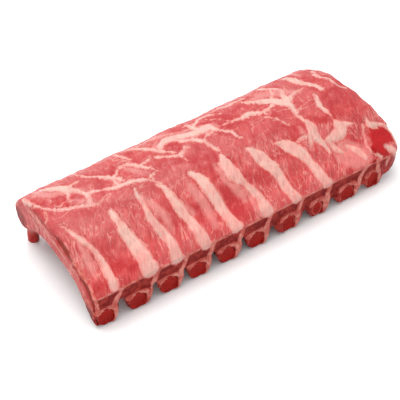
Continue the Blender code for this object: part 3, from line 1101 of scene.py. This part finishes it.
def cut_colour(n, rag, colour):
    """The front cut and both ends over the muscle: torn meat, lobes, lean cells, tissue, marrow."""
    colour = n.blend(n.times(n.cut, 0.95), colour, n.mottle(n.small, 0.35, 0.65, "torn"))
    lobes = n.rise(n.sum(n.dark, n.times(n.loose, 0.5)), 0.3, 0.7)
    colour = n.blend(lobes, colour, n.mottle(n.small, 0.4, 0.65, "wet"))
    cells = n.rise(n.sum(n.cell, n.times(n.loose, 3.0)), -0.5, 0.5)
    colour = n.blend(cells, colour, n.mottle(n.small, 0.42, 0.62, "cell"))
    tissue = n.rise(n.sum(n.fascia, n.times(rag, 0.2)), -0.5, 0.6)
    colour = n.blend(tissue, colour, n.mottle(n.small, 0.35, 0.65, "tissue"))
    marrow = n.rise(n.sum(n.marrow, n.times(n.loose, 1.5)), -0.2, 0.4)
    return n.blend(marrow, colour, n.mottle(n.small, 0.4, 0.65, "pulp"))


def ragged(n):
    """How far the grains move the rims of fat in or out, in millimetres."""
    rag = n.times(n.centred(n.tear), n.rise(n.net, 0, 1, *TEAR_REACH))
    for name, reach in RAG_REACHES.items():
        rag = n.sum(rag, n.times(n.centred(getattr(n, name)), reach))
    return rag


def fat_colour(n, rag, colour):
    """Veils, marbling and seams of fat over what is there, each seam with a halo and painted shade in
    the crease beside it.
    """
    cream = n.mottle(n.thread, 0.4, 0.58, "fat")
    cream = n.blend(n.times(n.rise(n.patch, 0.45, 0.65), 0.6), cream, tone("fat, lightest"))
    inner = n.rise(n.sum(n.fat, n.times(rag, 0.5)), 0.0, 1.6)
    cream = n.blend(inner, tone("fat, thin"), cream)
    veil = n.rise(n.sum(n.veil, rag), -3.0, 2.5)
    colour = n.blend(n.times(veil, 0.75), colour, tone("veil"))
    torn_fat = n.sum(n.fat, rag)
    colour = n.blend(n.times(n.rise(torn_fat, -2.2, 0.2), 0.35), colour, tone("halo"))
    veins = n.times(n.times(n.thin_lines(n.marbling), n.net), n.rise(n.patch, 0.45, 0.6))
    colour = n.blend(n.times(veins, 0.6), colour, tone("vein"))
    # Painted shade in the groove beside each seam
    crease = n.rise(n.sum(n.sum(torn_fat, 1.1), 0.0, "ABSOLUTE"), 0.9, 0.1)
    crease = n.times(crease, n.rise(n.patch, 0.48, 0.6))
    colour = n.blend(n.times(crease, 0.5), colour, tone("crease"))
    return n.blend(n.rise(torn_fat, -0.9, 0.5), colour, cream)


def shaded_colour(n, colour):
    """Painted shade in the slits and the gaps, the underside darker, then the back half's tint and the
    front's, which is painted light.
    """
    # Painted shade in the slits
    colour = n.blend(n.times(n.rise(n.slit, -0.8, 0.8), 0.9), colour, tone("slit"))
    colour = n.blend(n.times(n.under, 0.6), colour, tone("under"))
    # Painted shade in the gaps between and behind the lobes, and the darkest red of the dark spots
    colour = n.blend(n.times(n.deep, 0.85), colour, tone("deep"))
    # The back half's tint, and painted light behind the front edge
    tint = n.blend(n.brink, n.blend(n.net, (1, 1, 1, 1), BACK_TINT), PAINTED_FRONT_LIGHT)
    return n.blend(1.0, colour, tint, "MULTIPLY")


def meat_material():
    n = Nodes("raw_meat")
    add_grains(n)
    rag = ragged(n)
    sinew = glint_lines_share(n)
    colour = muscle_colour(n, sinew)
    colour = cut_colour(n, rag, colour)
    colour = fat_colour(n, rag, colour)
    colour = shaded_colour(n, colour)

    normal = n.bump(n.thread, n.rise(n.net, 0, 1, 0.8, 0.45), 0.002)
    normal = n.bump(sinew, 0.6, 0.0007, normal)
    normal = n.bump(n.small, 0.25, 0.0012, normal)
    normal = n.bump(n.fine, 0.15, 0.0006, normal)
    material = n.finish(
        colour, n.rise(n.small, 0.3, 0.7, 0.3, 0.48), normal,
        Subsurface_Weight=0.1, Subsurface_Scale=0.0012,
        Specular_IOR_Level=0.03, Coat_Weight=0.12, Coat_Roughness=0.15,
    )
    n.shader.inputs["Subsurface Radius"].default_value = (1.0, 0.35, 0.25)
    return material


def bone_material():
    n = Nodes("rib_bone")
    marrow, run = n.field("marrow"), n.field("run")
    pores = n.noise(900.0, 5.0, bend=0.4)
    patch = n.noise(160.0, 3.0)
    red = n.mottle(pores, 0.42, 0.62, "marrow")
    red = n.blend(n.times(n.rise(patch, 0.45, 0.62), 0.7), red, tone("marrow, bright"))
    rim = n.blend(patch, tone("bone rim"), tone("bone rim, dark"))
    membrane = n.blend(n.rise(patch, 0.35, 0.7), tone("membrane"), tone("membrane, dark"))
    foot = n.mottle(patch, 0.3, 0.7, "foot")
    colour = n.blend(n.rise(run, 0.002, 0.02), rim, membrane)
    colour = n.blend(n.rise(run, 0.86, 0.93), colour, foot)
    inside = n.rise(n.sum(marrow, n.times(n.centred(patch), 0.12)), 0.0, 0.04)
    colour = n.blend(inside, colour, red)
    return n.finish(
        colour, n.rise(patch, 0.3, 0.7, 0.28, 0.45), n.bump(pores, 0.5, 0.0008),
        Specular_IOR_Level=0.03, Coat_Weight=0.08, Coat_Roughness=0.15,
    )


FLOOR_SHADES = ((0.90, 0.90, 0.90, 1), (0.92, 0.92, 0.92, 1))


def floor_material():
    n = Nodes("pale_floor")
    grain = n.noise(60.0, 2.0)
    shade = n.blend(grain, *FLOOR_SHADES)
    return n.finish(
        shade, n.rise(grain, 0.3, 0.7, 0.85, 0.9), n.bump(grain, 0.02, 0.0005), Specular_IOR_Level=0.1
    )


FLOOR_HALF = 3.0
SKY = 0.88
# Round soft lights: name, place, aim and size in metres, and power in watts
LIGHTS = (
    ("key", (-0.2, 0.4, 1.6), (0, 0, 0), 1.6, 26.5),
    ("glint", (0.35, 0.75, 1.0), (0, 0, 0.03), 0.25, 2.2),
)


def studio():
    """A pale floor under a white sky and two soft lights."""
    mesh = bpy.data.meshes.new("floor")
    corners = [(FLOOR_HALF * x, FLOOR_HALF * y, 0) for x, y in ((-1, -1), (1, -1), (1, 1), (-1, 1))]
    mesh.from_pydata(corners, [], [(0, 1, 2, 3)])
    mesh.materials.append(floor_material())
    floor = linked("floor", mesh)

    world = bpy.data.worlds.new("studio")
    bpy.context.scene.world = world
    world.use_nodes = True
    sky = world.node_tree.nodes["Background"]
    sky.inputs["Color"].default_value = (1, 1, 1, 1)
    sky.inputs["Strength"].default_value = SKY

    for name, place, aim, size, power in LIGHTS:
        light = bpy.data.lights.new(name, "AREA")
        light.shape = "DISK"
        light.size = size
        light.energy = power
        lamp = linked(name, light)
        lamp.location = place
        lamp.rotation_euler = (Vector(aim) - Vector(place)).to_track_quat("-Z", "Y").to_euler()


def photo_camera():
    """The camera at the photograph's angle."""
    forward = camera_axes()[2]
    camera = bpy.data.cameras.new("camera")
    camera.sensor_width = SENSOR
    camera.lens = FOCAL_PIXELS / IMAGE_SIDE * SENSOR
    holder = linked("camera", camera)
    holder.location = Vector(CAMERA_PLACE * MM) + HOME
    holder.rotation_euler = Vector(forward).to_track_quat("-Z", "Y").to_euler()
    bpy.context.scene.camera = holder
    bpy.context.scene.view_settings.view_transform = "Standard"


def main():
    photo_camera()
    studio()
    meat = put("dressed_meat", dress_meat(), meat_material())
    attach(meat, "root")
    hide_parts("meat")
    bone = bone_material()
    for k in range(len(RIB_WIDTH)):
        rib = put(f"bone_{k + 1:02d}", rib_piece(k), bone)
        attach(rib, "root")
        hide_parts(f"rib_{k + 1:02d}")


main()
